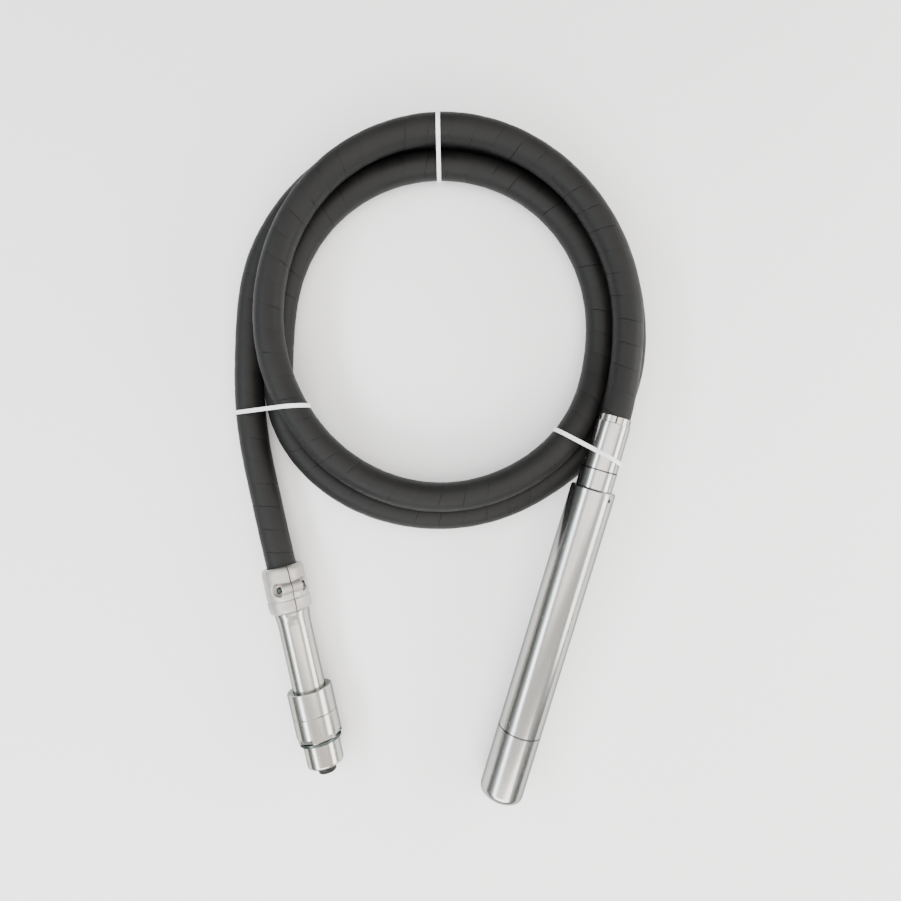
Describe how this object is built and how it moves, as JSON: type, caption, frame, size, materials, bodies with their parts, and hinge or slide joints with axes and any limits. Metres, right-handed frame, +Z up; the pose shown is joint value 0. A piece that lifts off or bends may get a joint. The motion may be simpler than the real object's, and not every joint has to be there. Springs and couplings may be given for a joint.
{
  "type": "concrete vibrator",
  "caption": "Flexible-shaft concrete poker: steel vibrating head, coiled black rubber hose held by ties, and a spring-collar coupling for its drive motor",
  "frame": {"origin": "bottom centre of the box round the vibrating head and the motor coupling, on the floor that the tool lies on", "axes": "+Z up from the floor; +Y towards the coiled hose, so the head tip and the coupling point roughly along -Y; +X to the right, towards the neck of the head"},
  "size_m": [0.4883, 0.8049, 0.0756],
  "materials": {
    "polished_steel": "turned and polished steel with fine lengthwise streaks",
    "turned_steel": "bright turned steel",
    "plated_steel": "zinc-plated steel, slightly yellow",
    "cast_aluminium": "matte sand-cast aluminium",
    "dark_steel": "blackened steel",
    "bronze": "plain bearing bronze",
    "hose_rubber": "matte black rubber with cloth-wrap marks",
    "seal_rubber": "smooth black nitrile rubber",
    "white_nylon": "white nylon"
  },
  "bodies": {
    "housing": {"end_cap": "polished_steel", "cap_o_ring": "seal_rubber", "raceway": "turned_steel", "head_tube": "polished_steel", "lock_screw": "dark_steel", "bearing_a_outer_ring": "turned_steel", "bearing_b_outer_ring": "turned_steel", "bearing_cap": "polished_steel", "bearing_spacer": "turned_steel", "oil_seal": "seal_rubber", "hose_socket": "polished_steel", "socket_o_ring": "seal_rubber", "hose_collet": "plated_steel", "clamp_half_a": "cast_aluminium", "clamp_half_b": "cast_aluminium", "clamp_bolt_top": "dark_steel", "clamp_nut_top": "dark_steel", "clamp_bolt_bottom": "dark_steel", "clamp_nut_bottom": "dark_steel", "coupling_tube": "plated_steel", "spigot": "turned_steel", "retaining_ring": "dark_steel", "spring_seat": "turned_steel", "collar_spring": "turned_steel", "rear_bush": "bronze", "front_bush": "bronze", "dust_seal": "seal_rubber", "hose_head": "hose_rubber", "liner_head": "turned_steel", "core_head": "dark_steel", "hose_tail": "hose_rubber", "liner_tail": "turned_steel", "core_tail": "dark_steel", "hose_coil": "hose_rubber", "cable_tie_top": "white_nylon", "cable_tie_left": "white_nylon", "cable_tie_right": "white_nylon"},
    "collar": {"collar_cap": "plated_steel", "lock_collar": "plated_steel"},
    "drive": {"drive_shaft": "turned_steel", "drive_core_ferrule": "turned_steel", "drive_tip": "seal_rubber"},
    "spindle": {"spindle": "turned_steel", "spindle_circlip": "dark_steel", "head_core_ferrule": "turned_steel", "rotor_joint": "seal_rubber", "bearing_a_inner_ring": "turned_steel", "bearing_b_inner_ring": "turned_steel"},
    "cage_a": {"bearing_a_cage": "bronze"},
    "cage_b": {"bearing_b_cage": "bronze"},
    "rotor": {"rotor": "turned_steel"}
  },
  "joints": [
    {"name": "collar_slide", "type": "slide", "parent": "housing", "child": "collar", "axis": [-0.2215, 0.9752, 0], "range_m": [0, 0.008], "stiffness_N_per_m": 900, "springref_m": -0.004, "deforming": ["collar_spring"]},
    {"name": "drive_spin", "type": "hinge", "parent": "housing", "child": "drive", "pos_m": [-0.14472, -0.1469, 0.026], "axis": [0.2215, -0.9752, 0], "continuous": true},
    {"name": "spindle_spin", "type": "hinge", "parent": "housing", "child": "spindle", "pos_m": [0.16337, 0.11494, 0.04852], "axis": [-0.2777, -0.9583, -0.0675], "continuous": true},
    {"name": "cage_a_spin", "type": "hinge", "parent": "housing", "child": "cage_a", "pos_m": [0.15324, 0.07996, 0.04606], "axis": [-0.2777, -0.9583, -0.0675], "continuous": true},
    {"name": "cage_b_spin", "type": "hinge", "parent": "housing", "child": "cage_b", "pos_m": [0.15962, 0.102, 0.04761], "axis": [-0.2777, -0.9583, -0.0675], "continuous": true},
    {"name": "rotor_orbit", "type": "hinge", "parent": "housing", "child": "rotor", "pos_m": [0.11061, -0.06714, 0.0357], "axis": [-0.2777, -0.9583, -0.0675], "continuous": true}
  ],
  "couplings": [
    {"joint": "drive_spin", "follows": "spindle_spin", "ratio": -1},
    {"joint": "cage_a_spin", "follows": "spindle_spin", "ratio": 0.405},
    {"joint": "cage_b_spin", "follows": "spindle_spin", "ratio": 0.405},
    {"joint": "rotor_orbit", "follows": "spindle_spin", "ratio": -4.294}
  ]
}
